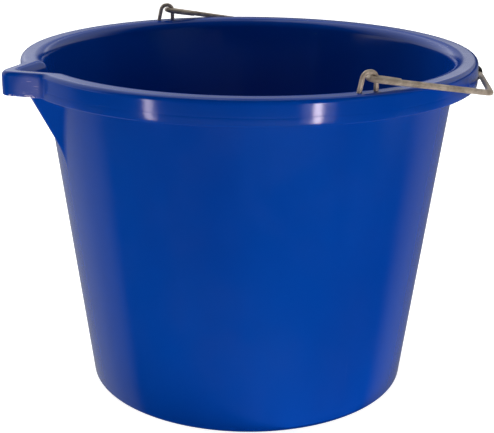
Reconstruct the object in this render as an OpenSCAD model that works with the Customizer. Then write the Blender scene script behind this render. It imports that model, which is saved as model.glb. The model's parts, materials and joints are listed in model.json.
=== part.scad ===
// Feed bucket with a pouring lip and a wire bail.
// Millimetres, +Z up. The origin is the centre of the base, on the surface the bucket stands on.
// The lip points along -X, the bail swings about an axis along Y and lies down towards +X.

/* [Bucket] */
// Height of the bucket to the top of its rim
height = 252; // [230:1:280]
// Outside diameter of the rim at its top edge
rim_d = 335; // [333:1:339]
// Outside diameter of the wall, carried up to the top of the rim
wall_top_d = 306.4; // [303.4:0.2:308.4]
// Outside diameter of the wall, carried down to the floor
wall_base_d = 244.2; // [230:0.2:266]
// Thickness of the wall
wall_t = 2.8; // [2.4:0.1:3.2]
// Thickness of the base
base_t = 3.2; // [2.5:0.1:4]
// Radius of the rounded outside corner between the wall and the base
base_round = 2.5; // [1.5:0.5:6]
// Radius of the rounded inside corner between the wall and the base
floor_round = 6; // [3:0.5:10]
// Height of the foot ring that the base stands on
foot_h = 3; // [2:0.5:4]
// Width of the foot ring
foot_w = 7; // [5:0.5:10]

/* [Rim] */
// Height of the band that hangs from the rim
band_h = 17.5; // [15:0.5:20]
// How far the band's lower edge stands out past its top edge
band_flare = 0.3; // [0.1:0.1:1.5]
// Thickness of the band
band_t = 2.4; // [2:0.1:3]
// Thickness of the flange on top of the rim
flange_t = 3; // [2.5:0.5:3.5]
// Radius of the rim's rounded outer edge
rim_round_out = 3.5; // [2:0.5:5]
// Radius of the rim's rounded inner edge
rim_round_in = 8; // [5:0.5:9]

/* [Pouring lip] */
// Distance from the bucket's axis to the tip of the lip
lip_reach = 187; // [183:1:190]
// Angle between each side of the lip and the lip's middle line
lip_angle = 43.5; // [42.5:0.5:50]
// Radius of the lip's rounded tip
lip_tip_r = 7.5; // [7:0.5:8.5]
// Radius of the hollow corner where the lip leaves the round rim
lip_shoulder_r = 8; // [6:1:16]
// Width of the lip's flat top at its tip
lip_edge_t = 9; // [7:0.5:11]
// Angle between each inner edge of the lip and its middle line
lip_mouth_angle = 45; // [44:0.5:46]
// Radius of the lip's rounded tip along its inner edge
lip_mouth_r = 8; // [6:0.5:9]
// Distance from the axis to the spout's outside ridge, at the top of the rim
spout_reach = 178.7; // [176:0.1:179]
// How far below the rim the spout's ridge runs out into the wall
spout_drop = 64; // [56:1:72]
// Angle between each side of the spout and its middle line
spout_angle = 42; // [40:1:44]
// Radius of the spout's rounded outside ridge, at the top of the rim
spout_ridge_r = 7; // [6:0.5:9]

/* [Eyes] */
// Diameter of the eye's wire
eye_wire_d = 3.2; // [2.8:0.1:3.4]
// Distance from the bucket's axis to the plane of each eye
eye_r = 160; // [159.5:0.1:160.5]
// How far the eyes stand from the middle line, away from the lip
eye_x = 2; // [-2:0.5:4]
// Radius of the arch, to the middle of the wire
eye_arch_r = 5; // [4.8:0.1:5.6]
// Height of the arch above the rim, to the middle of the wire
eye_rise = 12.5; // [12:0.5:15]
// Lean of the leg on the lip's side
eye_lean = 13; // [5:1:16]
// Length of each leg's bent-over end under the flange
eye_clinch = 9; // [6:1:10]

/* [Bail] */
// Diameter of the bail's wire
bail_wire_d = 4; // [3.6:0.1:4.2]
// Distance from the hook's pin to the middle of the grip
bail_reach = 177; // [176.5:0.5:184]
// Distance from the hook's pin to the bend where the arm turns inwards
arm_len = 95; // [90:1:102]
// Distance from the middle plane to the arm, beside the eye
arm_y = 164.5; // [164:0.1:165]
// How much nearer to the middle plane the arm is at its bend
arm_toe_in = 2; // [0:0.5:4]
// Radius of the bend where the arm turns inwards
arm_bend_r = 9; // [6:1:14]
// Distance between the arm and the hook's tail beside the eye
hook_w = 9; // [8.8:0.1:9.4]
// Bend radius of the hook
hook_r = 3; // [2.6:0.1:3]
// Length of the hook's tail
tail_len = 24; // [20:1:26]
// Angle at which the tail's end closes towards the arm
tail_close = 14; // [6:1:16]
// How far the bail lies below level at rest
rest_tilt = 10.5; // [10:0.5:12]

/* [Grip] */
// Length of the grip
grip_len = 94; // [80:1:95]
// Diameter of the grip at its middle
grip_d = 14; // [12:0.5:14]
// Diameter of the grip at its ends
grip_end_d = 12.5; // [11:0.5:13]
// Radius of the grip's rounded ends
grip_round = 3; // [1:0.5:3.5]

/* [Hidden] */
$fn = 96;
arc_steps = 8;
over = 1;

rim_r = rim_d / 2;
wall_slope = (wall_top_d - wall_base_d) / 2 / height;
wall_stretch = sqrt(1 + pow(wall_slope, 2));
wall_lean = atan(wall_slope);
band_z = height - band_h;
groove_z = height - flange_t;
groove_lap = 6;
floor_z = foot_h + base_t;

lip_tip_x = lip_reach - lip_tip_r;
spout_z = height - spout_drop;
spout_run = spout_reach - wall_r(spout_z);
ridge_stretch = sqrt(1 + pow(spout_run / spout_drop, 2));
spout_root = 12;
spout_back = wall_r(spout_z) - spout_root;
spout_foot_r = 0.5;
spout_sink = 0.4;
flange_lap = 0.5;
mouth_z = groove_z + flange_lap;
lip_root = 40;
plate_t = 0.1;
hull_fn = 32;

bend_lap = 0.15;
bend_swell = 0.04;

eye_fit = 0.08;
arch_flat = 0.6;
clinch_r = 2;
clinch_z = groove_z - clinch_r;
arch_z = height + eye_rise - eye_arch_r;

pin_gap = 0.3;
pin_shift = (eye_arch_r - eye_wire_d / 2 - bail_wire_d / 2 - pin_gap) * cos(45);
pin_x = eye_x + pin_shift;
pin_z = arch_z + pin_shift;
tail_y = arm_y - hook_w;
tail_straight = 13;
grip_gap = 0.08;
grip_bend_r = 7;
grip_end_gap = 3;
grip_bend_y = grip_len / 2 + grip_end_gap;

// Outside and inside radius of the wall at a height
function wall_r(z) = wall_base_d / 2 + wall_slope * z;
function inside_r(z) = wall_r(z) - wall_t * wall_stretch;

// Radius at which the rim's flat top starts
rim_top_r = inside_r(height - rim_round_in) + rim_round_in * wall_stretch;

// Points along an arc about [x, y], from one angle to another
function arc(x, y, r, from, to) = [
    for (i = [0 : arc_steps])
        let (a = from + (to - from) * i / arc_steps)
        [x + r * cos(a), y + r * sin(a)]
];

// Along a path of points: the direction of a vector, the turn at point i and the length its bend takes
function heading(v) = atan2(v[1], v[0]);
function unit(v) = v / norm(v);
function turn(p, i) =
    let (a = unit(p[i] - p[i - 1]), b = unit(p[i + 1] - p[i]))
    atan2(a[0] * b[1] - a[1] * b[0], a * b);
function trim(p, r, i) = i == 0 || i == len(p) - 1 ? 0 : r[i] * tan(abs(turn(p, i)) / 2);

// A round wire in the XY plane: straight lengths between points, and a bend of radius r[i] at point i.
// A bend is a hair thicker than the wire and takes the end of each straight length into it.
module bent_wire(p, r, d) {
    for (i = [0 : len(p) - 2]) {
        along = unit(p[i + 1] - p[i]);
        back = i == 0 ? 0 : bend_lap;
        ahead = i == len(p) - 2 ? 0 : bend_lap;
        start = p[i] + along * (trim(p, r, i) - back);
        length = norm(p[i + 1] - p[i]) - trim(p, r, i) - trim(p, r, i + 1) + back + ahead;
        translate(start) rotate([0, 90, heading(along)]) cylinder(d = d, h = length);
    }
    for (i = [1 : len(p) - 2]) {
        along = unit(p[i] - p[i - 1]);
        side = sign(turn(p, i));
        centre = p[i] - along * trim(p, r, i) + side * r[i] * [-along[1], along[0]];
        first = heading(along) - side * 90 + min(0, turn(p, i));
        translate(centre) rotate(first) rotate_extrude(angle = abs(turn(p, i)))
            translate([r[i], 0]) circle(d = d + bend_swell);
    }
}

// The bucket turned solid: wall, base, and the rim as a full block
module outer_body() {
    low_r = wall_r(base_round) - base_round * wall_stretch;
    rotate_extrude() polygon(concat(
        [[0, 0]],
        arc(low_r, base_round, base_round, -90, -wall_lean),
        [[wall_r(band_z), band_z], [rim_r + band_flare, band_z]],
        arc(rim_r - rim_round_out, height - rim_round_out, rim_round_out, 0, 90),
        [[0, height]]
    ));
}

// The space that holds the feed
module inner_space() {
    low_r = inside_r(floor_z + floor_round) - floor_round * wall_stretch;
    rotate_extrude() polygon(concat(
        [[0, floor_z]],
        arc(low_r, floor_z + floor_round, floor_round, -90, -wall_lean),
        arc(rim_top_r, height - rim_round_in, rim_round_in, 180 - wall_lean, 90),
        [[rim_top_r, height + over], [0, height + over]]
    ));
}

// The hollow inside the foot ring
module foot_hollow() {
    hollow_r = wall_r(0) - base_round - foot_w;
    translate([0, 0, -over]) cylinder(r = hollow_r, h = foot_h + over);
}

// The groove under the flange, between the wall and the band
module rim_groove() {
    low_z = band_z - over;
    rotate_extrude() polygon(concat(
        [
            [wall_r(band_z), band_z],
            [wall_r(band_z) + over, low_z],
            [rim_r + band_flare - band_t, low_z],
            [rim_r - band_t, groove_z]
        ],
        arc(rim_top_r, height - rim_round_in, rim_round_in - flange_t, 90, 180 - wall_lean)
    ));
}

// A V with a round point towards -X: tip circle at tip_x, sides at the given angle, cut off at back_x
module vee(tip_x, tip_r, angle, back_x) {
    touch = [tip_x + tip_r * sin(angle), tip_r * cos(angle)];
    back = [back_x, touch[1] + (touch[0] - back_x) * tan(angle)];
    mirror([1, 0]) {
        translate([tip_x, 0]) circle(r = tip_r);
        polygon([[tip_x, 0], touch, back, [back[0], -back[1]], [touch[0], -touch[1]]]);
    }
}

// Plan of the lip, drawn in by inset: a V that runs into the round rim over hollow shoulders
module lip_plan(inset) {
    shoulder_r = lip_shoulder_r + inset;
    ring_r = rim_r - inset;
    side = lip_tip_x * sin(lip_angle) + lip_tip_r - inset;
    swing = acos((side + shoulder_r) / (ring_r + shoulder_r));
    aim = 90 - lip_angle - swing;
    centre = (ring_r + shoulder_r) * [cos(aim), sin(aim)];
    on_side = centre - shoulder_r * [sin(lip_angle), cos(lip_angle)];
    on_ring = ring_r * [cos(aim), sin(aim)];
    vee(lip_tip_x, lip_tip_r - inset, lip_angle, ring_r - lip_root);
    mirror([1, 0]) for (m = [0, 1]) mirror([0, m]) difference() {
        polygon([on_side, on_ring, [0, 0]]);
        translate(centre) circle(r = shoulder_r);
    }
}

// The spout as a solid, drawn in by inset, from its foot on the wall up to top_z
module spout(inset, top_z) {
    foot_x = wall_r(spout_z) - inset * ridge_stretch;
    rise = (top_z - spout_z) / spout_drop;
    tip_r = spout_ridge_r - inset;
    tip_x = foot_x + spout_run * rise - tip_r;
    hull($fn = hull_fn) {
        translate([0, 0, top_z - plate_t])
            linear_extrude(plate_t) vee(tip_x, tip_r, spout_angle, spout_back);
        translate([spout_sink + spout_foot_r - foot_x, 0, spout_z]) cylinder(r = spout_foot_r, h = plate_t);
    }
}

// The flared mouth of the spout, cut into the flange
module spout_mouth() {
    tip_r = spout_ridge_r - wall_t;
    low_reach = spout_reach - wall_t * ridge_stretch - spout_run * (height - mouth_z) / spout_drop;
    low_x = low_reach - spout_sink - tip_r;
    top_x = lip_reach - lip_edge_t - lip_mouth_r;
    hull($fn = hull_fn) {
        translate([0, 0, mouth_z])
            linear_extrude(plate_t) vee(low_x, tip_r, spout_angle, spout_back);
        translate([0, 0, height])
            linear_extrude(plate_t) vee(top_x, lip_mouth_r, lip_mouth_angle, spout_back);
    }
}

module bucket_shell() {
    color("royalblue") difference() {
        union() {
            difference() {
                union() {
                    outer_body();
                    translate([0, 0, band_z]) linear_extrude(band_h) lip_plan(0);
                }
                rim_groove();
                difference() {
                    translate([0, 0, groove_z]) mirror([0, 0, 1])
                        linear_extrude(groove_z - band_z + over) lip_plan(band_t);
                    cylinder(r = wall_r(height) + groove_lap, h = height);
                }
            }
            spout(0, mouth_z);
        }
        inner_space();
        foot_hollow();
        spout(wall_t, height + over);
        spout_mouth();
        for (s = [1, -1]) eye(s, eye_wire_d + 2 * eye_fit);
    }
}

// One wire staple in the rim; s is -1 for the near side and 1 for the far side
module eye(s, d) {
    top_z = arch_z + eye_arch_r;
    lean_x = -arch_flat - eye_arch_r * tan(45 - eye_lean / 2);
    foot_x = lean_x - (top_z - clinch_z) * tan(eye_lean);
    path = [
        [eye_arch_r + eye_clinch, clinch_z],
        [eye_arch_r, clinch_z],
        [eye_arch_r, top_z],
        [lean_x, top_z],
        [foot_x, clinch_z],
        [foot_x - eye_clinch, clinch_z]
    ];
    translate([eye_x, s * eye_r, 0]) rotate([90, 0, 0])
        bent_wire(path, [0, clinch_r, eye_arch_r, eye_arch_r, clinch_r, 0], d);
}

module near_eye() {
    color("silver") eye(-1, eye_wire_d);
}

module far_eye() {
    color("silver") eye(1, eye_wire_d);
}

// Puts a piece that is drawn about the hook's pin, lying in the XY plane, where it rests
module at_rest() {
    translate([pin_x, 0, pin_z]) rotate([0, rest_tilt, 0]) children();
}

module bail_wire() {
    tail_end = tail_y + (tail_len - tail_straight) * tan(tail_close);
    half = [
        [tail_len, tail_end],
        [tail_straight, tail_y],
        [0, tail_y],
        [0, arm_y],
        [arm_len, arm_y - arm_toe_in],
        [bail_reach, grip_bend_y]
    ];
    half_r = [0, grip_bend_r, hook_r, hook_r, arm_bend_r, grip_bend_r];
    path = concat(half, [for (i = [len(half) - 1 : -1 : 0]) [half[i][0], -half[i][1]]]);
    radii = concat(half_r, [for (i = [len(half_r) - 1 : -1 : 0]) half_r[i]]);
    color("darkgray") at_rest() bent_wire(path, radii, bail_wire_d);
}

module bail_grip() {
    half = grip_len / 2;
    end_r = grip_end_d / 2;
    color("black") at_rest() translate([bail_reach, 0, 0]) rotate([90, 0, 0]) difference() {
        rotate_extrude() polygon(concat(
            [[0, -half]],
            arc(end_r - grip_round, -half + grip_round, grip_round, -90, 0),
            [[grip_d / 2, 0]],
            arc(end_r - grip_round, half - grip_round, grip_round, 0, 90),
            [[0, half]]
        ));
        cylinder(d = bail_wire_d + 2 * grip_gap, h = grip_len + 2 * over, center = true);
    }
}

bucket_shell();
near_eye();
far_eye();
bail_wire();
bail_grip();
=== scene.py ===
"""Looks of a stable feed bucket, built around its CAD frame."""

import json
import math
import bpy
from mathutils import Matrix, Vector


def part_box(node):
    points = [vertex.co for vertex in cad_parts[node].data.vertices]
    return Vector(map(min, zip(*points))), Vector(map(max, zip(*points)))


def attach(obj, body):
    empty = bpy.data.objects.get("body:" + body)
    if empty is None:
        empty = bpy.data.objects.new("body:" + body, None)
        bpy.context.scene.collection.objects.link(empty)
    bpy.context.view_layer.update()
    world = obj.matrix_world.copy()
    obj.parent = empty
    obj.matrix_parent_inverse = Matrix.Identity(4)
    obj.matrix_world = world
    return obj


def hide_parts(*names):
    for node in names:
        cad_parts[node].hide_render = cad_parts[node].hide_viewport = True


bl_info = {
    "name": "Feed Bucket",
    "version": (1, 0, 0),
    "blender": (4, 5, 0),
    "location": "View3D > Sidebar > Feed Bucket",
    "description": "Builds the visible pieces of a feed bucket with a pouring lip and a wire bail",
    "category": "Object",
}

import bmesh
import bpy
from bpy.props import FloatProperty, FloatVectorProperty, PointerProperty
from mathutils import Matrix, Vector

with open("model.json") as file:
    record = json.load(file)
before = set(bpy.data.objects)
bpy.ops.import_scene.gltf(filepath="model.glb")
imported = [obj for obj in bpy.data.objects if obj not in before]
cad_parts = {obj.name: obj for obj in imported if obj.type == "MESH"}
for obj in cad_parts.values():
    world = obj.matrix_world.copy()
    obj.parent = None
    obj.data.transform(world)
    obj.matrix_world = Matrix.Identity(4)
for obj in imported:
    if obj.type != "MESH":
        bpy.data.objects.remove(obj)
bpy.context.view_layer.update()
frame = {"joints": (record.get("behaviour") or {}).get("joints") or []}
SHELL_LOW, SHELL_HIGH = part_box("bucket_shell")
HINGE = Vector(frame["joints"][0]["pos_m"])
GRIP_CENTRE = Vector(frame["joints"][1]["pos_m"])

MM = 0.001
QUARTER = math.pi / 2
MERGE = 1e-6

# Zones of the shell's outline, which the lip and the spout push out in different ways
BASE, WALL, GROOVE, BAND, RIM, MOUTH, INSIDE = range(7)


def length(name, description, default):
    """A size in metres, with its default in millimetres."""
    return FloatProperty(name=name, description=description, default=default * MM, unit="LENGTH", precision=5)


def turn(name, description, default):
    """An angle, with its default in degrees."""
    return FloatProperty(name=name, description=description, default=math.radians(default), unit="ROTATION")


def share(name, description, default):
    """A plain number from 0 to 1."""
    return FloatProperty(name=name, description=description, default=default, min=0, max=1, subtype="FACTOR")


def colour(name, description, default):
    """A linear colour."""
    return FloatVectorProperty(
        name=name, description=description, default=default, subtype="COLOR", min=0, max=1
    )


class FeedBucketShell(bpy.types.PropertyGroup):
    """Sizes of the moulded bucket"""

    height: length("Height", "Height to the top of the rim", SHELL_HIGH.z / MM)
    band_r: length("Band radius", "Radius of the band's lower edge", SHELL_HIGH.y / MM)
    band_flare: length("Band flare", "How far the band's lower edge stands out past its top", 0.3)
    band_h: length("Band height", "Height of the band that hangs from the rim", 17.5)
    band_t: length("Band thickness", "Thickness of the band", 2.4)
    band_line: length("Band line", "Height of the fine line round the band above its lower edge", 6)
    flange_t: length("Flange thickness", "Thickness of the flange on top of the rim", 3)
    round_out: length("Outer round", "Radius of the rim's rounded outer edge", 3.5)
    round_in: length("Inner round", "Radius of the rim's rounded inner edge", 8)
    wall_top_r: length("Wall top radius", "Outside radius of the wall, carried up to the rim's top", 153.2)
    wall_base_r: length("Wall base radius", "Outside radius of the wall, carried down to the floor", 122.1)
    wall_t: length("Wall thickness", "Thickness of the wall", 2.8)
    base_t: length("Base thickness", "Thickness of the base", 3.2)
    base_round: length("Base round", "Radius of the outside corner between wall and base", 2.5)
    floor_round: length("Floor round", "Radius of the inside corner between wall and base", 6)
    foot_h: length("Foot height", "Height of the foot ring", 3)
    foot_w: length("Foot width", "Width of the foot ring", 7)
    lip_reach: length("Lip reach", "Distance from the axis to the tip of the lip", -SHELL_LOW.x / MM)
    lip_angle: turn("Lip angle", "Angle between each side of the lip and its middle line", 43.5)
    lip_tip_r: length("Lip tip radius", "Radius of the lip's rounded tip", 7.5)
    lip_soft: length("Lip shoulder", "Softness of the hollow where the lip leaves the round rim", 1.6)
    mouth_reach: length("Mouth reach", "Distance from the axis to the inner edge of the lip's tip", 178)
    mouth_angle: turn("Mouth angle", "Angle between each inner edge of the lip and its middle line", 45)
    mouth_tip_r: length("Mouth tip radius", "Radius of the lip's rounded tip along its inner edge", 8)
    spout_reach: length("Spout reach", "Distance from the axis to the spout's ridge at the rim's top", 178.7)
    spout_drop: length("Spout drop", "How far below the rim the spout's ridge runs out", 64)
    spout_angle: turn("Spout angle", "Angle between each side of the spout and its middle line", 42)
    spout_ridge_r: length("Spout ridge radius", "Radius of the spout's outside ridge at the rim's top", 7)
    spout_soft: length("Spout shoulder", "Softness of the hollow where the spout leaves the wall", 5)
    edge_soft: length("Inner shoulder", "Softness of the spout's edges inside the bucket", 1.5)


class FeedBucketWire(bpy.types.PropertyGroup):
    """Sizes of the bail, its eyes and its grip"""

    eye_d: length("Eye wire", "Diameter of the eyes' wire", 3.2)
    eye_r: length("Eye distance", "Distance from the axis to the plane of each eye", 160)
    eye_x: length("Eye offset", "How far the eyes stand from the middle line", 2)
    eye_arch_r: length("Eye arch", "Radius of the arch, to the middle of the wire", 5)
    eye_rise: length("Eye rise", "Height of the arch above the rim, to the middle of the wire", 12.5)
    eye_lean: turn("Eye lean", "Lean of the leg on the lip's side", 13)
    eye_clinch: length("Eye clinch", "Length of each leg's bent-over end under the flange", 9)
    clinch_r: length("Clinch radius", "Bend radius of the bent-over ends", 2)
    bail_d: length("Bail wire", "Diameter of the bail's wire", 4)
    bail_reach: length("Bail reach", "Distance from the hook's pin to the middle of the grip", 177)
    arm_len: length("Arm length", "Distance from the hook's pin to the bend of the arm", 95)
    arm_y: length("Arm distance", "Distance from the middle plane to the arm beside the eye", 164.5)
    arm_toe_in: length("Arm toe-in", "How much nearer to the middle plane the arm is at its bend", 2)
    arm_bend_r: length("Arm bend", "Radius of the bend where the arm turns inwards", 9)
    hook_w: length("Hook width", "Distance between the arm and the hook's tail", 9)
    hook_r: length("Hook bend", "Bend radius of the hook", 3)
    tail_len: length("Tail length", "Length of the hook's tail", 24)
    tail_straight: length("Tail straight", "Where the tail starts to close", 13)
    tail_close: turn("Tail closing", "Angle at which the tail's end closes towards the arm", 14)
    grip_bend_r: length("Grip bend", "Radius of the bends beside the grip and in the tail", 7)
    rest_tilt: turn("Rest tilt", "How far the bail lies below level at rest", 10.5)
    grip_len: length("Grip length", "Length of the grip", 94)
    grip_end_gap: length("Grip gap", "Distance from the grip's end to the bend beside it", 3)
    grip_d: length("Grip middle", "Diameter of the grip at its middle", 14)
    grip_end_d: length("Grip end", "Diameter of the grip at its ends", 12.5)
    grip_bore_d: length("Grip bore", "Diameter of the hole through the grip", 4.16)
    grip_round: length("Grip round", "Radius of the grip's rounded ends", 3)


class FeedBucketFinish(bpy.types.PropertyGroup):
    """Colours and gloss of the finishes"""

    blue: colour("Blue", "Colour of the moulded plastic", (0.0, 0.046, 0.31))
    deep_blue: colour("Deep blue", "Darker colour of the plastic's flow marks", (0.0, 0.037, 0.268))
    # Also the colour of the painted sheen on the lip
    scuff_and_sheen: colour("Scuff", "Colour of scuffed plastic", (0.52, 0.46, 0.62))
    plastic_rough: share("Plastic roughness", "Roughness of the clean plastic", 0.10)
    zinc: colour("Zinc", "Colour of the clean galvanised wire", (0.52, 0.44, 0.35))
    dull_zinc: colour("Dull zinc", "Colour of the weathered galvanised wire", (0.30, 0.25, 0.19))
    zinc_rough: share("Zinc roughness", "Roughness of the clean wire", 0.34)
    black: colour("Black", "Colour of the grip", (0.010, 0.010, 0.011))
    black_rough: share("Grip roughness", "Roughness of the grip", 0.42)


class FeedBucketStage(bpy.types.PropertyGroup):
    """Camera, light and floor"""

    camera_turn: turn("Camera turn", "How far the camera stands from the near eye towards the lip", 27.2)
    camera_away: length("Camera distance", "Distance of the camera from the bucket's axis", 833.37)
    camera_height: length("Camera height", "Height of the camera above the floor", 401.95)
    camera_pan: turn("Camera pan", "Turn of the camera away from the axis", 0.055)
    camera_tilt: turn("Camera tilt", "Tilt of the camera, negative below level", -18.601)
    camera_roll: turn("Camera roll", "Roll of the camera about its view", 0.504)
    lens: FloatProperty(name="Lens", description="Focal length in millimetres", default=82.16, unit="CAMERA")


def soft_max(a, b, soft):
    """The larger of two radii, with the corner between them filled over a length."""
    near = max(soft - abs(a - b), 0) / soft
    return max(a, b) + near * near * soft / 4


def vee_radius(angle, tip, tip_r, half):
    """Distance from the axis to a V with a round point, at an angle from the V's middle line."""
    centre = tip - tip_r
    swing = min(abs(angle), QUARTER - half)
    touch = math.atan2(tip_r * math.cos(half), centre + tip_r * math.sin(half))
    if swing < touch:
        return centre * math.cos(swing) + math.sqrt(tip_r ** 2 - (centre * math.sin(swing)) ** 2)
    return (centre * math.sin(half) + tip_r) / math.cos(swing - QUARTER + half)


def arc(centre_r, centre_z, radius, start, end, steps):
    """Points of an arc in the outline's plane; angles in radians from outwards to up."""
    turns = [start + (end - start) * i / steps for i in range(steps + 1)]
    return [(centre_r + radius * math.cos(t), centre_z + radius * math.sin(t)) for t in turns]


def straight(start, end, steps):
    """Points between two points of the outline, without the two."""
    mid = [i / steps for i in range(1, steps)]
    return [(start[0] + (end[0] - start[0]) * t, start[1] + (end[1] - start[1]) * t) for t in mid]


class ShellForm:
    """Outline of the bucket and how the lip and the spout push it out"""

    BASE_FILLET = 0.8 * MM
    GROOVE_FILLET = 0.8 * MM
    LINE_HALF = 0.45 * MM
    LINE_DEPTH = 0.12 * MM
    LIP_RAISE = 0.8 * MM
    LIP_FLARE = 0.25
    ROUND_STEPS = 8
    INNER_STEPS = 12
    SPOUT_STEPS = 34
    LOW_STEPS = 8
    SPOUT_ZONE = 84 * MM

    def __init__(self, sizes):
        self.s = sizes
        s = sizes
        self.rim_r = s.band_r - s.band_flare
        self.slope = (s.wall_top_r - s.wall_base_r) / s.height
        self.stretch = math.hypot(1, self.slope)
        self.lean = math.atan(self.slope)
        self.band_z = s.height - s.band_h
        self.groove_z = s.height - s.flange_t
        self.floor_z = s.foot_h + s.base_t
        self.round_z = s.height - s.round_in
        self.mouth_r = self.inside_r(self.round_z) + s.round_in * self.stretch
        self.edge_r = self.mouth_r - s.round_in * math.cos(self.lean)
        self.edge_z = self.round_z + s.round_in * math.sin(self.lean)
        self.spout_run = s.spout_reach - self.wall_r(s.height - s.spout_drop)
        self.ridge_stretch = math.hypot(1, self.spout_run / s.spout_drop)

    def wall_r(self, z):
        """Outside radius of the wall at a height."""
        return self.s.wall_base_r + self.slope * z

    def inside_r(self, z):
        """Inside radius of the wall at a height."""
        return self.wall_r(z) - self.s.wall_t * self.stretch

    def flare(self, z):
        """How far the band stands out at a height."""
        s = self.s
        top = s.height - s.round_out
        return s.band_flare * (top - z) / (top - self.band_z)

    def outline(self):
        """The bucket's section, from the middle of its underside to the middle of its floor."""
        s = self.s
        points = []

        def add(zone, *stretches):
            for stretch in stretches:
                points.extend((zone, r, z) for r, z in stretch)

        hollow_r = s.wall_base_r - s.base_round - s.foot_w
        foot_r = self.wall_r(s.base_round) - s.base_round * self.stretch
        fillet = self.BASE_FILLET
        add(BASE, [(0, s.foot_h)], straight((0, s.foot_h), (hollow_r, s.foot_h), 5))
        add(BASE, arc(hollow_r - fillet, s.foot_h - fillet, fillet, QUARTER, 0, 4))
        add(BASE, arc(hollow_r + fillet, fillet, fillet, -math.pi, -QUARTER, 4))
        corner = arc(foot_r, s.base_round, s.base_round, -QUARTER, -self.lean, self.ROUND_STEPS)
        add(BASE, corner)

        spout_low = (self.wall_r(s.height - self.SPOUT_ZONE), s.height - self.SPOUT_ZONE)
        under_r = s.round_in - s.flange_t
        under = arc(self.mouth_r, self.round_z, under_r, math.pi - self.lean, QUARTER, self.ROUND_STEPS)
        add(WALL, straight(corner[-1], spout_low, self.LOW_STEPS), [spout_low])
        add(WALL, straight(spout_low, under[0], self.SPOUT_STEPS))

        band_in = self.rim_r - s.band_t
        add(GROOVE, under)
        add(GROOVE, straight(under[-1], (band_in, self.groove_z), 4))
        add(GROOVE, [(band_in - self.GROOVE_FILLET, self.groove_z)])

        edge = s.band_t / 2
        low_r = self.rim_r + self.flare(self.band_z + edge) - edge
        line_z = self.band_z + s.band_line
        band_top = s.height - s.round_out
        add(BAND, [(band_in, self.groove_z - self.GROOVE_FILLET)])
        add(BAND, straight((band_in, self.groove_z), (low_r - edge, self.band_z + edge), 4))
        add(BAND, arc(low_r, self.band_z + edge, edge, -math.pi, 0, self.ROUND_STEPS))
        for offset, depth in ((-2, 0), (-1, 0), (0, self.LINE_DEPTH), (1, 0), (2, 0)):
            z = line_z + offset * self.LINE_HALF
            add(BAND, [(self.rim_r + self.flare(z) - depth, z)])
        add(BAND, straight((self.rim_r + self.flare(line_z), line_z), (self.rim_r, band_top), 4))

        add(RIM, arc(self.rim_r - s.round_out, band_top, s.round_out, 0, QUARTER, self.ROUND_STEPS))
        add(RIM, straight((self.rim_r - s.round_out, s.height), (self.mouth_r, s.height), 5))
        round_end = math.pi - self.lean
        inner_round = arc(self.mouth_r, self.round_z, s.round_in, QUARTER, round_end, self.INNER_STEPS)
        add(MOUTH, inner_round)

        spout_in = (self.inside_r(s.height - self.SPOUT_ZONE), s.height - self.SPOUT_ZONE)
        add(INSIDE, straight(inner_round[-1], spout_in, self.SPOUT_STEPS), [spout_in])
        low_z = self.floor_z + s.floor_round
        floor_r = self.inside_r(low_z) - s.floor_round * self.stretch
        floor_corner = arc(floor_r, low_z, s.floor_round, -self.lean, -QUARTER, self.ROUND_STEPS)
        add(INSIDE, straight(spout_in, floor_corner[0], self.LOW_STEPS), floor_corner)
        add(INSIDE, straight((floor_r, self.floor_z), (0, self.floor_z), 5), [(0, self.floor_z)])
        return points

    def rim_plan(self, angle):
        """Outer radius of the rim's top, with the lip."""
        s = self.s
        vee = vee_radius(angle, s.lip_reach, s.lip_tip_r, s.lip_angle)
        return soft_max(self.rim_r, vee, s.lip_soft)

    def mouth_plan(self, angle):
        """Radius of the inner edge of the rim's flat top, with the lip."""
        s = self.s
        vee = vee_radius(angle, s.mouth_reach, s.mouth_tip_r, s.mouth_angle)
        return soft_max(self.mouth_r, vee, s.lip_soft)

    def spout_plan(self, angle, z, inset):
        """Radius of the spout alone at a height, drawn in by a thickness."""
        s = self.s
        rise = 1 - (s.height - z) / s.spout_drop
        tip = s.spout_reach - self.spout_run * (1 - rise) - inset * self.ridge_stretch
        tip_r = max((s.spout_ridge_r - inset) * rise, s.edge_soft)
        return vee_radius(angle, tip, tip_r, s.spout_angle)

    def outside(self, angle, r, z):
        """Radius of the outside of the wall, with the spout."""
        return soft_max(r, self.spout_plan(angle, z, 0), self.s.spout_soft)

    def inside(self, angle, r, z):
        """Radius of the inside of the wall, with the spout."""
        return soft_max(r, self.spout_plan(angle, z, self.s.wall_t), self.s.edge_soft)

    def lip_share(self, angle):
        """1 along the lip, falling to 0 where the lip has run into the rim."""
        out = self.rim_plan(angle) - self.rim_r
        return min(out / self.s.lip_soft, 1)

    def pushed(self, zone, angle, r, z):
        """Where a point of the plain outline goes at an angle from the lip: its radius and height."""
        s = self.s
        if zone == BASE:
            return r, z
        if zone == WALL:
            return self.outside(angle, r, z), z
        if zone == INSIDE:
            return self.inside(angle, r, z), z
        rim = self.rim_plan(angle)
        if zone == GROOVE:
            root = self.mouth_r - s.round_in + s.flange_t
            band_in = self.rim_r - s.band_t
            pushed_root = self.outside(angle, root, z)
            return pushed_root + (r - root) / (band_in - root) * (rim - s.band_t - pushed_root), z
        if zone == BAND:
            lip = self.lip_share(angle)
            low = 1 - min((z - self.band_z) / s.band_line, 1)
            flare = self.flare(z)
            kept = flare * (1 - lip * (1 - self.LIP_FLARE))
            return rim + (r - self.rim_r - flare) + kept, z + lip * low * self.LIP_RAISE
        mouth = self.mouth_plan(angle)
        if zone == RIM:
            return mouth + (r - self.mouth_r) / (self.rim_r - self.mouth_r) * (rim - mouth), z
        start = self.inside(angle, self.edge_r, self.edge_z)
        return start + (r - self.edge_r) / (self.mouth_r - self.edge_r) * (mouth - start), z


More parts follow.
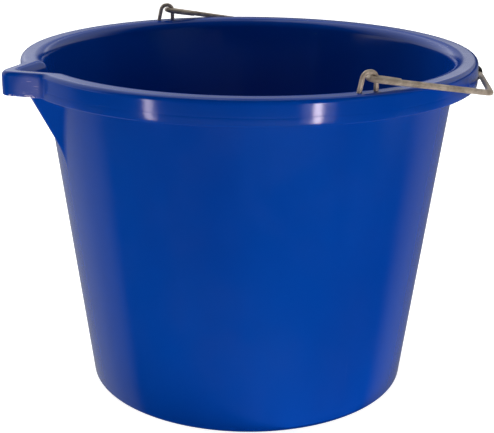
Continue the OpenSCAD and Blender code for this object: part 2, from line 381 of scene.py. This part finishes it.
def new_piece(name, bm, material, body, slot, *nodes):
    """Makes a finished piece of a bmesh: smooth, in its material, on its body, for its CAD nodes."""
    bmesh.ops.remove_doubles(bm, verts=bm.verts, dist=MERGE)
    bmesh.ops.recalc_face_normals(bm, faces=bm.faces)
    mesh = bpy.data.meshes.new(name)
    bm.to_mesh(mesh)
    bm.free()
    mesh.shade_smooth()
    mesh.set_sharp_from_angle(angle=math.radians(40))
    mesh.materials.append(material)
    piece = bpy.data.objects.new(name, mesh)
    bpy.context.scene.collection.objects.link(piece)
    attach(piece, body)
    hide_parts(*nodes)
    return piece


def unit(v):
    """A vector of length 1 in a path's plane."""
    return v / v.length


def bend_at(path, radii, i):
    """The turn at a path's point, positive to the left, and the length that its bend takes."""
    before = unit(path[i] - path[i - 1])
    after = unit(path[i + 1] - path[i])
    angle = math.atan2(before.cross(after), before.dot(after))
    return angle, radii[i] * math.tan(abs(angle) / 2)


def bent_wire(path, radii, diameter, place):
    """A round wire along a flat path of straight lengths and bends, with rounded cut ends."""
    SIDES = 20
    BEND_STEP = math.radians(6)
    CUT_ROUND = 0.12
    bm = bmesh.new()
    up = Vector((0, 0, 1))
    heading = unit(path[1] - path[0])
    facing = Vector((heading.x, heading.y, 0)).to_track_quat("Z", "Y").to_matrix().to_4x4()
    start = Matrix.Translation((path[0].x, path[0].y, 0)) @ facing
    ring = bmesh.ops.create_circle(bm, segments=SIDES, radius=diameter / 2, matrix=start)["verts"]
    edges = list({e for v in ring for e in v.link_edges})
    first = list(edges)
    for i in range(1, len(path)):
        heading = unit(path[i] - path[i - 1])
        here = [0, 0] if i == len(path) - 1 else bend_at(path, radii, i)
        behind = 0 if i == 1 else bend_at(path, radii, i - 1)[1]
        run = (path[i] - path[i - 1]).length - behind - here[1]
        out = bmesh.ops.extrude_edge_only(bm, edges=edges)["geom"]
        verts = [g for g in out if isinstance(g, bmesh.types.BMVert)]
        edges = [g for g in out if isinstance(g, bmesh.types.BMEdge)]
        bmesh.ops.translate(bm, verts=verts, vec=(heading.x * run, heading.y * run, 0))
        if i == len(path) - 1:
            break
        side = math.copysign(1, here[0])
        corner = path[i] - heading * here[1] + side * radii[i] * Vector((-heading.y, heading.x))
        steps = max(2, round(abs(here[0]) / BEND_STEP))
        out = bmesh.ops.spin(bm, geom=verts + edges, cent=(corner.x, corner.y, 0), axis=up,
                             angle=here[0], steps=steps)["geom_last"]
        edges = [g for g in out if isinstance(g, bmesh.types.BMEdge)]
    for end, way in ((first, unit(path[0] - path[1])), (edges, unit(path[-1] - path[-2]))):
        out = bmesh.ops.extrude_edge_only(bm, edges=end)["geom"]
        verts = [g for g in out if isinstance(g, bmesh.types.BMVert)]
        rim = [g for g in out if isinstance(g, bmesh.types.BMEdge)]
        centre = sum((v.co for v in verts), Vector()) / len(verts)
        shrink = Matrix.Translation(centre) @ Matrix.Scale(1 - 2 * CUT_ROUND, 4) @ Matrix.Translation(-centre)
        bmesh.ops.transform(bm, matrix=shrink, verts=verts)
        cut = way * diameter * CUT_ROUND
        bmesh.ops.translate(bm, verts=verts, vec=(cut.x, cut.y, 0))
        bmesh.ops.holes_fill(bm, edges=rim, sides=0)
    bmesh.ops.transform(bm, matrix=place, verts=bm.verts)
    return bm


def put(tree, kind, sockets=None, **settings):
    """Adds a node, sets its options, and links or sets its sockets."""
    made = tree.nodes.new(kind)
    for name, value in settings.items():
        setattr(made, name, value)
    for name, value in (sockets or {}).items():
        if isinstance(value, bpy.types.NodeSocket):
            tree.links.new(value, made.inputs[name])
        else:
            made.inputs[name].default_value = value
    return made


def new_material(name):
    """An empty material with its shader, and the object's own coordinates."""
    material = bpy.data.materials.new(name)
    material.use_nodes = True
    tree = material.node_tree
    tree.nodes.clear()
    shader = put(tree, "ShaderNodeBsdfPrincipled")
    put(tree, "ShaderNodeOutputMaterial", {"Surface": shader.outputs["BSDF"]})
    coords = put(tree, "ShaderNodeTexCoord").outputs["Object"]
    return material, tree, shader, coords


def noise(tree, coords, scale, detail=3.0, rough=0.5, stretch=None):
    """A noise value over the surface; stretch scales the pattern along X, Y and Z."""
    if stretch:
        coords = put(tree, "ShaderNodeMapping", {"Vector": coords, "Scale": stretch}).outputs["Vector"]
    sockets = {"Vector": coords, "Scale": scale, "Detail": detail, "Roughness": rough}
    return put(tree, "ShaderNodeTexNoise", sockets).outputs["Fac"]


def fade(tree, value, low, high, to_low=0.0, to_high=1.0):
    """Maps a value's range smoothly onto another."""
    sockets = {"Value": value, "From Min": low, "From Max": high, "To Min": to_low, "To Max": to_high}
    return put(tree, "ShaderNodeMapRange", sockets, interpolation_type="SMOOTHSTEP").outputs["Result"]


def math_node(tree, operation, a, b):
    """A sum, product or other sum of two values."""
    made = put(tree, "ShaderNodeMath", operation=operation)
    for socket, value in zip(made.inputs, (a, b)):
        if isinstance(value, bpy.types.NodeSocket):
            tree.links.new(value, socket)
        else:
            socket.default_value = value
    return made.outputs["Value"]


def mix_colours(tree, share_of_b, a, b):
    """One colour over another."""
    made = put(tree, "ShaderNodeMix", data_type="RGBA")
    ins = {"Factor_Float": share_of_b, "A_Color": a, "B_Color": b}
    by_id = {socket.identifier: socket for socket in made.inputs}
    for name, value in ins.items():
        if isinstance(value, bpy.types.NodeSocket):
            tree.links.new(value, by_id[name])
        else:
            by_id[name].default_value = value if name == "Factor_Float" else (*value, 1)
    return next(out for out in made.outputs if out.identifier == "Result_Color")


def distance(tree, coords, place):
    """How far a point of the surface is from a place."""
    sockets = {0: coords, 1: place}
    return put(tree, "ShaderNodeVectorMath", sockets, operation="DISTANCE").outputs["Value"]


def product(tree, a, b):
    """Two values multiplied."""
    return math_node(tree, "MULTIPLY", a, b)


def largest(tree, a, b):
    """The larger of two values."""
    return math_node(tree, "MAXIMUM", a, b)


def lip_wear_and_sheen(tree, coords):
    """Scuffs and a painted lilac sheen on the near side of the lip, and nicks along its lower edge."""
    # Centre of the scuffs and of the painted sheen patch, then how far and how strongly each reaches
    SCUFF_AND_SHEEN_AT = (-0.1735, -0.016, 0.2405)
    SHEEN_REACH, SCUFF_REACH = (0.014, 0.006), (0.010, 0.005)
    SHEEN_SHARE, SCUFF_SHARE = 0.10, 0.36
    NICKS_AT = (-0.178, -0.012, 0.2358)
    NICKS_REACH, NICKS_TOP = (0.013, 0.009), (0.2372, 0.2364)
    away = distance(tree, coords, SCUFF_AND_SHEEN_AT)
    # Painted sheen: the rubbed patch is a faint lilac tint painted where the lip's near facet shows a
    # reflection; only the scuffs and nicks are wear
    rubbed = product(tree, fade(tree, away, *SHEEN_REACH), SHEEN_SHARE)
    lines = fade(tree, noise(tree, coords, 150.0, 3.0, 0.6, (0.7, 0.7, 5.0)), 0.52, 0.66)
    scuffs = product(tree, fade(tree, away, *SCUFF_REACH), product(tree, lines, SCUFF_SHARE))
    height = put(tree, "ShaderNodeSeparateXYZ", {0: coords}).outputs["Z"]
    near_tip = fade(tree, distance(tree, coords, NICKS_AT), *NICKS_REACH)
    edge = product(tree, fade(tree, height, *NICKS_TOP), near_tip)
    nicks = product(tree, edge, fade(tree, noise(tree, coords, 420.0, 2.0), 0.50, 0.56))
    return largest(tree, largest(tree, rubbed, scuffs), nicks)


def blue_plastic(finish):
    """Moulded plastic with faint flow marks, specks, scratches, a worn lip and a painted sheen on the lip."""
    SCRATCH_SHARE = 0.08
    WORN_ROUGHER = 0.06
    MARK_ROUGH = 0.6
    material, tree, shader, coords = new_material("moulded_blue")
    flow = noise(tree, coords, 7.0, 4.0, 0.55, (1.0, 1.0, 0.35))
    grain = noise(tree, coords, 420.0, 3.0, 0.6)
    body = mix_colours(tree, fade(tree, flow, 0.35, 0.68), finish.blue, finish.deep_blue)
    specks = put(tree, "ShaderNodeTexVoronoi", {"Vector": coords, "Scale": 26.0})
    chosen = put(tree, "ShaderNodeSeparateColor", {"Color": specks.outputs["Color"]}).outputs["Red"]
    dots = fade(tree, specks.outputs["Distance"], 0.022, 0.012)
    speck = product(tree, dots, fade(tree, chosen, 0.72, 0.75))
    scratch_lines = fade(tree, noise(tree, coords, 60.0, 2.0, 0.5, (1.0, 1.0, 0.06)), 0.70, 0.76)
    scratch_patch = fade(tree, noise(tree, coords, 11.0, 2.0), 0.52, 0.66)
    scratch = product(tree, scratch_lines, scratch_patch)
    marks = largest(tree, speck, product(tree, scratch, SCRATCH_SHARE))
    # The lip's marks hold its scuffs and nicks and also its painted sheen, so these marks are partly painted
    # light
    marks = largest(tree, marks, lip_wear_and_sheen(tree, coords))
    tree.links.new(mix_colours(tree, marks, body, finish.scuff_and_sheen), shader.inputs["Base Color"])
    wear = noise(tree, coords, 38.0, 5.0, 0.65)
    rough = fade(tree, wear, 0.3, 0.75, finish.plastic_rough, finish.plastic_rough + WORN_ROUGHER)
    rough = largest(tree, rough, product(tree, marks, MARK_ROUGH))
    tree.links.new(rough, shader.inputs["Roughness"])
    bump = put(tree, "ShaderNodeBump", {"Height": grain, "Strength": 0.02, "Distance": 0.0004})
    tree.links.new(bump.outputs["Normal"], shader.inputs["Normal"])
    shader.inputs["IOR"].default_value = 1.5
    return material


def galvanised_wire(finish):
    """Hot-dipped zinc with dull patches and bright rubbed spots, made once for all the wires."""
    SPOT_ROUGHER = 0.22
    made = bpy.data.materials.get("dull_zinc")
    if made:
        return made
    material, tree, shader, coords = new_material("dull_zinc")
    patches = noise(tree, coords, 130.0, 4.0, 0.6)
    spots = noise(tree, coords, 520.0, 2.0, 0.5)
    worn = fade(tree, patches, 0.34, 0.66)
    body = mix_colours(tree, worn, finish.zinc, finish.dull_zinc)
    tree.links.new(body, shader.inputs["Base Color"])
    rough = fade(tree, spots, 0.25, 0.8, finish.zinc_rough, finish.zinc_rough + SPOT_ROUGHER)
    tree.links.new(rough, shader.inputs["Roughness"])
    bump = put(tree, "ShaderNodeBump", {"Height": spots, "Strength": 0.12, "Distance": 0.0003})
    tree.links.new(bump.outputs["Normal"], shader.inputs["Normal"])
    shader.inputs["Metallic"].default_value = 0.35
    return material


def black_plastic(finish):
    """Satin moulded plastic, polished a little by hands."""
    RUBBED_PALER = 2.2
    CLEAN_ROUGHER, RUBBED_SMOOTHER = 0.08, 0.1
    material, tree, shader, coords = new_material("satin_black")
    grain = noise(tree, coords, 900.0, 2.0, 0.5)
    rubbed = noise(tree, coords, 60.0, 3.0, 0.55)
    grey = tuple(RUBBED_PALER * channel for channel in finish.black)
    body = mix_colours(tree, fade(tree, rubbed, 0.4, 0.7), finish.black, grey)
    tree.links.new(body, shader.inputs["Base Color"])
    clean_rough = finish.black_rough + CLEAN_ROUGHER
    rough = fade(tree, rubbed, 0.3, 0.75, clean_rough, finish.black_rough - RUBBED_SMOOTHER)
    tree.links.new(rough, shader.inputs["Roughness"])
    bump = put(tree, "ShaderNodeBump", {"Height": grain, "Strength": 0.15, "Distance": 0.0002})
    tree.links.new(bump.outputs["Normal"], shader.inputs["Normal"])
    return material


class FEEDBUCKET_OT_shell(bpy.types.Operator):
    """Build the moulded bucket: wall, base, rim, pouring lip and spout"""

    bl_idname = "feed_bucket.shell"
    bl_label = "Bucket shell"

    LIP_HALF = math.radians(24)
    LIP_STEPS = 160
    ROUND_STEPS = 208

    def execute(self, context):
        """Spin the outline fine through the lip and plain round the rest, then push out the lip."""
        form = ShellForm(context.scene.feed_bucket_shell)
        bm = bmesh.new()
        zone = bm.verts.layers.int.new("zone")
        start = Matrix.Rotation(self.LIP_HALF, 3, "Z")
        chain = []
        for kind, r, z in form.outline():
            v = bm.verts.new(start @ Vector((-r, 0, z)))
            v[zone] = kind
            chain.append(v)
        edges = [bm.edges.new(pair) for pair in zip(chain, chain[1:])]
        turns = ((-2 * self.LIP_HALF, self.LIP_STEPS), (2 * self.LIP_HALF - math.tau, self.ROUND_STEPS))
        geom = chain + edges
        for angle, steps in turns:
            spun = bmesh.ops.spin(bm, geom=geom, cent=(0, 0, 0), axis=(0, 0, 1), angle=angle, steps=steps)
            geom = spun["geom_last"]
        bmesh.ops.remove_doubles(bm, verts=bm.verts, dist=MERGE)
        for v in bm.verts:
            r = math.hypot(v.co.x, v.co.y)
            if r < MERGE:
                continue
            angle = math.atan2(v.co.y, -v.co.x)
            new_r, z = form.pushed(v[zone], angle, r, v.co.z)
            v.co = (v.co.x * new_r / r, v.co.y * new_r / r, z)
        finish = context.scene.feed_bucket_finish
        new_piece("bucket_moulding", bm, blue_plastic(finish), "bucket", "blue_plastic", "bucket_shell")
        return {"FINISHED"}


class FEEDBUCKET_OT_eyes(bpy.types.Operator):
    """Build the two wire eyes that the bail hooks into"""

    bl_idname = "feed_bucket.eyes"
    bl_label = "Eyes"

    ARCH_FLAT = 0.6 * MM

    def execute(self, context):
        """Bend one wire for each side of the rim."""
        wire = context.scene.feed_bucket_wire
        shell = context.scene.feed_bucket_shell
        top = shell.height + wire.eye_rise
        low = shell.height - shell.flange_t - wire.clinch_r
        lean_x = -self.ARCH_FLAT - wire.eye_arch_r * math.tan(QUARTER / 2 - wire.eye_lean / 2)
        foot_x = lean_x - (top - low) * math.tan(wire.eye_lean)
        path = [Vector(p) for p in (
            (wire.eye_arch_r + wire.eye_clinch, low),
            (wire.eye_arch_r, low),
            (wire.eye_arch_r, top),
            (lean_x, top),
            (foot_x, low),
            (foot_x - wire.eye_clinch, low),
        )]
        radii = [0, wire.clinch_r, wire.eye_arch_r, wire.eye_arch_r, wire.clinch_r, 0]
        material = galvanised_wire(context.scene.feed_bucket_finish)
        for side, node in ((-1, "near_eye"), (1, "far_eye")):
            upright = Matrix.Rotation(QUARTER, 4, "X")
            place = Matrix.Translation((wire.eye_x, side * wire.eye_r, 0)) @ upright
            bm = bent_wire(path, radii, wire.eye_d, place)
            new_piece(node + "_wire", bm, material, "bucket", "galvanised_wire", node)
        return {"FINISHED"}


class FEEDBUCKET_OT_bail(bpy.types.Operator):
    """Build the swinging wire handle with its two hooks"""

    bl_idname = "feed_bucket.bail"
    bl_label = "Bail"

    def execute(self, context):
        """Bend the wire from one hook's tail to the other's."""
        wire = context.scene.feed_bucket_wire
        tail_y = wire.arm_y - wire.hook_w
        tail_end = tail_y + (wire.tail_len - wire.tail_straight) * math.tan(wire.tail_close)
        half = (
            (wire.tail_len, tail_end),
            (wire.tail_straight, tail_y),
            (0, tail_y),
            (0, wire.arm_y),
            (wire.arm_len, wire.arm_y - wire.arm_toe_in),
            (wire.bail_reach, wire.grip_len / 2 + wire.grip_end_gap),
        )
        bends = [0, wire.grip_bend_r, wire.hook_r, wire.hook_r, wire.arm_bend_r, wire.grip_bend_r]
        path = [Vector(p) for p in half] + [Vector((x, -y)) for x, y in reversed(half)]
        place = Matrix.Translation(HINGE) @ Matrix.Rotation(wire.rest_tilt, 4, "Y")
        bm = bent_wire(path, bends + bends[::-1], wire.bail_d, place)
        material = galvanised_wire(context.scene.feed_bucket_finish)
        new_piece("bail_handle", bm, material, "bail", "galvanised_wire", "bail_wire")
        return {"FINISHED"}


class FEEDBUCKET_OT_grip(bpy.types.Operator):
    """Build the sleeve that turns on the middle of the bail"""

    bl_idname = "feed_bucket.grip"
    bl_label = "Grip"

    STEPS = 64
    END_STEPS = 7
    BARREL_STEPS = 8
    BARREL_STEP = 0.1

    def execute(self, context):
        """Spin the grip's section about the bail."""
        wire = context.scene.feed_bucket_wire
        half = wire.grip_len / 2
        end_r = wire.grip_end_d / 2
        bore_r = wire.grip_bore_d / 2
        edge = wire.grip_round
        low = arc(end_r - edge, -half + edge, edge, -QUARTER, 0, self.END_STEPS)
        high = [(r, -z) for r, z in reversed(low)]
        middle_r = wire.grip_d / 2
        barrel = [
            (middle_r + (end_r - middle_r) * (i / self.BARREL_STEPS) ** 2, half * i * self.BARREL_STEP)
            for i in range(-self.BARREL_STEPS, self.BARREL_STEPS + 1)
        ]
        section = [(bore_r, -half)] + low + barrel + high + [(bore_r, half)]
        bm = bmesh.new()
        chain = [bm.verts.new((r, 0, z)) for r, z in section]
        edges = [bm.edges.new(pair) for pair in zip(chain, chain[1:] + chain[:1])]
        bmesh.ops.spin(bm, geom=chain + edges, cent=(0, 0, 0), axis=(0, 0, 1), angle=math.tau,
                       steps=self.STEPS, use_merge=True)
        lie = Matrix.Rotation(QUARTER, 4, "X")
        place = Matrix.Translation(GRIP_CENTRE) @ Matrix.Rotation(wire.rest_tilt, 4, "Y") @ lie
        bmesh.ops.transform(bm, matrix=place, verts=bm.verts)
        material = black_plastic(context.scene.feed_bucket_finish)
        new_piece("grip_sleeve", bm, material, "grip", "black_plastic", "bail_grip")
        return {"FINISHED"}


class FEEDBUCKET_OT_stage(bpy.types.Operator):
    """Set up the floor, the light and the camera"""

    bl_idname = "feed_bucket.stage"
    bl_label = "Stage"

    FLOOR_HALF = 5.0
    FLOOR_GLOW = 0.86
    FLOOR_PALE = 0.62
    # Brightness of the surroundings low, level with the rim and high up, by degrees to the right of
    # straight behind the bucket
    LOW_ROOM = (
        (-92, 0), (-80, 0.28), (-58, 0.4), (-40, 0.38), (-14, 0.34), (12, 0.24), (30, 0.21), (52, 0.25),
        (64, 0.2), (76, 0),
    )
    MID_ROOM = ((-116, 0), (-100, 0.7), (-60, 0.8), (-20, 0.7), (-4, 0))
    HIGH_ROOM = (
        (-110, 0), (-80, 0.7), (-35, 1.0), (-15, 1.25), (-8, 0.54), (0, 0.36), (6, 0.3), (11, 0.95), (18, 0.4),
        (28, 0.5), (45, 0.65), (65, 0.65), (80, 0.3), (95, 0),
    )
    # Rise between which the low surroundings end and the high ones start
    LOW_RISE, HIGH_RISE = (-0.03, 0.03), (0.12, 0.19)
    # Tint of the lamps that the bucket mirrors
    STRIP_TINT = (1.0, 0.86, 0.93)
    # Name, place, aim, width, height, power, and whether the bucket mirrors the lamp
    LAMPS = (
        ("front_lamp", (0, -0.66, 0.05), (0, 0, 0.12), 0.9, 0.09, 1.3, False),
        ("left_lamp", (-0.64, -0.05, 0.05), (0, 0, 0.12), 0.5, 0.09, 1.0, False),
        ("right_lamp", (0.64, -0.05, 0.05), (0, 0, 0.12), 0.5, 0.09, 1.5, False),
        ("front_card", (0, -0.19, 0.003), (0, -0.19, 1), 0.5, 0.1, 0.16, False),
        ("fill_lamp", (0.8, -0.7, 0.4), (0, 0, 0.24), 0.6, 0.2, 2.0, False),
        ("top_lamp", (0, 0, 1.5), (0, 0, 0), 0.8, 0.8, 3.8, False),
        ("back_lamp", (-0.3, 1.5, 1.0), (0, -0.1, 0.2), 0.9, 0.5, 20, False),
        ("soft_box", (-0.79, 0.55, 1.4), (0, 0, 0.25), 1.5, 1.0, 5.0, False),
        ("left_strip", (-0.51, -0.555, 0.14), (-0.07, -0.15, 0.14), 0.046, 0.27, 0.42, True),
        ("right_strip", (0.365, -0.668, 0.14), (0.05, -0.16, 0.14), 0.04, 0.27, 0.75, True),
        ("right_glow", (0.375, -0.675, 0.14), (0.05, -0.16, 0.14), 0.19, 0.27, 0.14, True),
    )

    def facing(self, context):
        """Turn from straight behind the near eye to the camera's side."""
        return Matrix.Rotation(-context.scene.feed_bucket_stage.camera_turn, 4, "Z")

    def execute(self, context):
        """Make the camera first, then what surrounds the bucket."""
        context.scene.view_settings.view_transform = "Standard"
        self.camera(context)
        self.floor(context)
        self.surroundings(context)
        self.lamps(context)
        return {"FINISHED"}

    def camera(self, context):
        """The camera stands where the photograph was taken from."""
        stage = context.scene.feed_bucket_stage
        data = bpy.data.cameras.new("camera")
        data.lens = stage.lens
        data.sensor_width = 36
        camera = bpy.data.objects.new("camera", data)
        context.scene.collection.objects.link(camera)
        place = Matrix.Translation((0, -stage.camera_away, stage.camera_height))
        look = Matrix.Rotation(stage.camera_pan, 4, "Z") @ Matrix.Rotation(QUARTER + stage.camera_tilt, 4, "X")
        camera.matrix_world = self.facing(context) @ place @ look @ Matrix.Rotation(stage.camera_roll, 4, "Z")
        context.scene.camera = camera

    def room(self, tree, across, back, stops):
        """Brightness of the surroundings in a direction, given how far it points right and back."""
        angle = math_node(tree, "ARCTAN2", across, back)
        place = math_node(tree, "MULTIPLY_ADD", angle, 1 / math.tau)
        place.node.inputs[2].default_value = 0.5
        ramp = put(tree, "ShaderNodeValToRGB", {"Fac": place})
        for i, (degrees, bright) in enumerate(stops):
            share_round = 0.5 + degrees / 360
            stop = ramp.color_ramp.elements[i] if i < 2 else ramp.color_ramp.elements.new(share_round)
            stop.position = share_round
            stop.color = (bright, bright, bright, 1)
        return ramp.outputs["Color"]

    def floor(self, context):
        """A plain pale floor that stays white to the camera and keeps the shadow."""
        bm = bmesh.new()
        bmesh.ops.create_grid(bm, x_segments=2, y_segments=2, size=self.FLOOR_HALF)
        mesh = bpy.data.meshes.new("floor")
        bm.to_mesh(mesh)
        bm.free()
        floor = bpy.data.objects.new("floor", mesh)
        context.scene.collection.objects.link(floor)
        floor.visible_glossy = False
        material = bpy.data.materials.new("pale_floor")
        material.use_nodes = True
        tree = material.node_tree
        tree.nodes.clear()
        ray = put(tree, "ShaderNodeLightPath")
        pale = put(tree, "ShaderNodeBsdfDiffuse", {"Color": (*[self.FLOOR_PALE] * 3, 1)})
        glow = put(tree, "ShaderNodeEmission", {"Color": (1, 1, 1, 1), "Strength": self.FLOOR_GLOW})
        seen = put(tree, "ShaderNodeAddShader", {0: pale.outputs[0], 1: glow.outputs[0]})
        sockets = {0: ray.outputs["Is Camera Ray"], 1: pale.outputs[0], 2: seen.outputs[0]}
        both = put(tree, "ShaderNodeMixShader", sockets)
        put(tree, "ShaderNodeOutputMaterial", {"Surface": both.outputs[0]})
        mesh.materials.append(material)

    def surroundings(self, context):
        """White to the camera; a pale room behind and beside the bucket to everything else."""
        world = bpy.data.worlds.new("studio")
        context.scene.world = world
        world.use_nodes = True
        tree = world.node_tree
        tree.nodes.clear()
        ray = put(tree, "ShaderNodeLightPath")
        direction = put(tree, "ShaderNodeTexCoord").outputs["Generated"]
        spin = {"Vector": direction, "Axis": (0, 0, 1), "Angle": context.scene.feed_bucket_stage.camera_turn}
        seen = put(tree, "ShaderNodeVectorRotate", spin).outputs["Vector"]
        parts = put(tree, "ShaderNodeSeparateXYZ", {0: seen}).outputs
        rooms = (self.LOW_ROOM, self.MID_ROOM, self.HIGH_ROOM)
        low, level, high = (self.room(tree, parts["X"], parts["Y"], stops) for stops in rooms)
        under = mix_colours(tree, fade(tree, parts["Z"], *self.LOW_RISE), low, level)
        bright = mix_colours(tree, fade(tree, parts["Z"], *self.HIGH_RISE), under, high)
        room = put(tree, "ShaderNodeBackground", {"Color": bright})
        white = put(tree, "ShaderNodeBackground", {"Color": (1, 1, 1, 1)})
        sockets = {0: ray.outputs["Is Camera Ray"], 1: room.outputs[0], 2: white.outputs[0]}
        both = put(tree, "ShaderNodeMixShader", sockets)
        put(tree, "ShaderNodeOutputWorld", {"Surface": both.outputs[0]})

    def lamp(self, context, name, place, aim, width, height, power, mirrored):
        """A soft rectangular lamp, placed as the camera sees it: right, away from the camera, up."""
        data = bpy.data.lights.new(name, "AREA")
        data.shape = "RECTANGLE"
        data.size = width
        data.size_y = height
        data.energy = power
        if mirrored:
            data.color = self.STRIP_TINT
        lamp = bpy.data.objects.new(name, data)
        context.scene.collection.objects.link(lamp)
        turned = self.facing(context)
        lamp.location = turned @ Vector(place)
        away = turned @ Vector(aim) - lamp.location
        lamp.rotation_euler = away.to_track_quat("-Z", "Y").to_euler()
        lamp.visible_camera = False
        lamp.visible_glossy = mirrored

    def lamps(self, context):
        """Broad lamps all round, and two upright strips that draw the bright lines on the band."""
        for lamp in self.LAMPS:
            self.lamp(context, *lamp)


class FEEDBUCKET_PT_panel(bpy.types.Panel):
    """Pieces of the feed bucket"""

    bl_label = "Feed Bucket"
    bl_idname = "FEEDBUCKET_PT_panel"
    bl_space_type = "VIEW_3D"
    bl_region_type = "UI"
    bl_category = "Feed Bucket"

    def draw(self, context):
        """List the operators and their values."""
        for operator in OPERATORS:
            self.layout.operator(operator.bl_idname)
        for group in SETTINGS:
            box = self.layout.box()
            values = getattr(context.scene, group)
            for name in values.bl_rna.properties.keys():
                if name not in ("rna_type", "name"):
                    box.prop(values, name)


SETTINGS = {
    "feed_bucket_shell": FeedBucketShell,
    "feed_bucket_wire": FeedBucketWire,
    "feed_bucket_finish": FeedBucketFinish,
    "feed_bucket_stage": FeedBucketStage,
}
OPERATORS = (
    FEEDBUCKET_OT_shell,
    FEEDBUCKET_OT_eyes,
    FEEDBUCKET_OT_bail,
    FEEDBUCKET_OT_grip,
    FEEDBUCKET_OT_stage,
)


def register():
    """Register the classes and hang the settings on the scene."""
    for cls in (*SETTINGS.values(), *OPERATORS, FEEDBUCKET_PT_panel):
        bpy.utils.register_class(cls)
    for name, group in SETTINGS.items():
        setattr(bpy.types.Scene, name, PointerProperty(type=group))


def unregister():
    """Take the settings and the classes away again."""
    for name in SETTINGS:
        delattr(bpy.types.Scene, name)
    for cls in (FEEDBUCKET_PT_panel, *reversed(OPERATORS), *reversed(SETTINGS.values())):
        bpy.utils.unregister_class(cls)


def main():
    """Build every piece in order."""
    register()
    bpy.ops.feed_bucket.shell()
    bpy.ops.feed_bucket.eyes()
    bpy.ops.feed_bucket.bail()
    bpy.ops.feed_bucket.grip()
    bpy.ops.feed_bucket.stage()


if __name__ == "__main__":
    main()
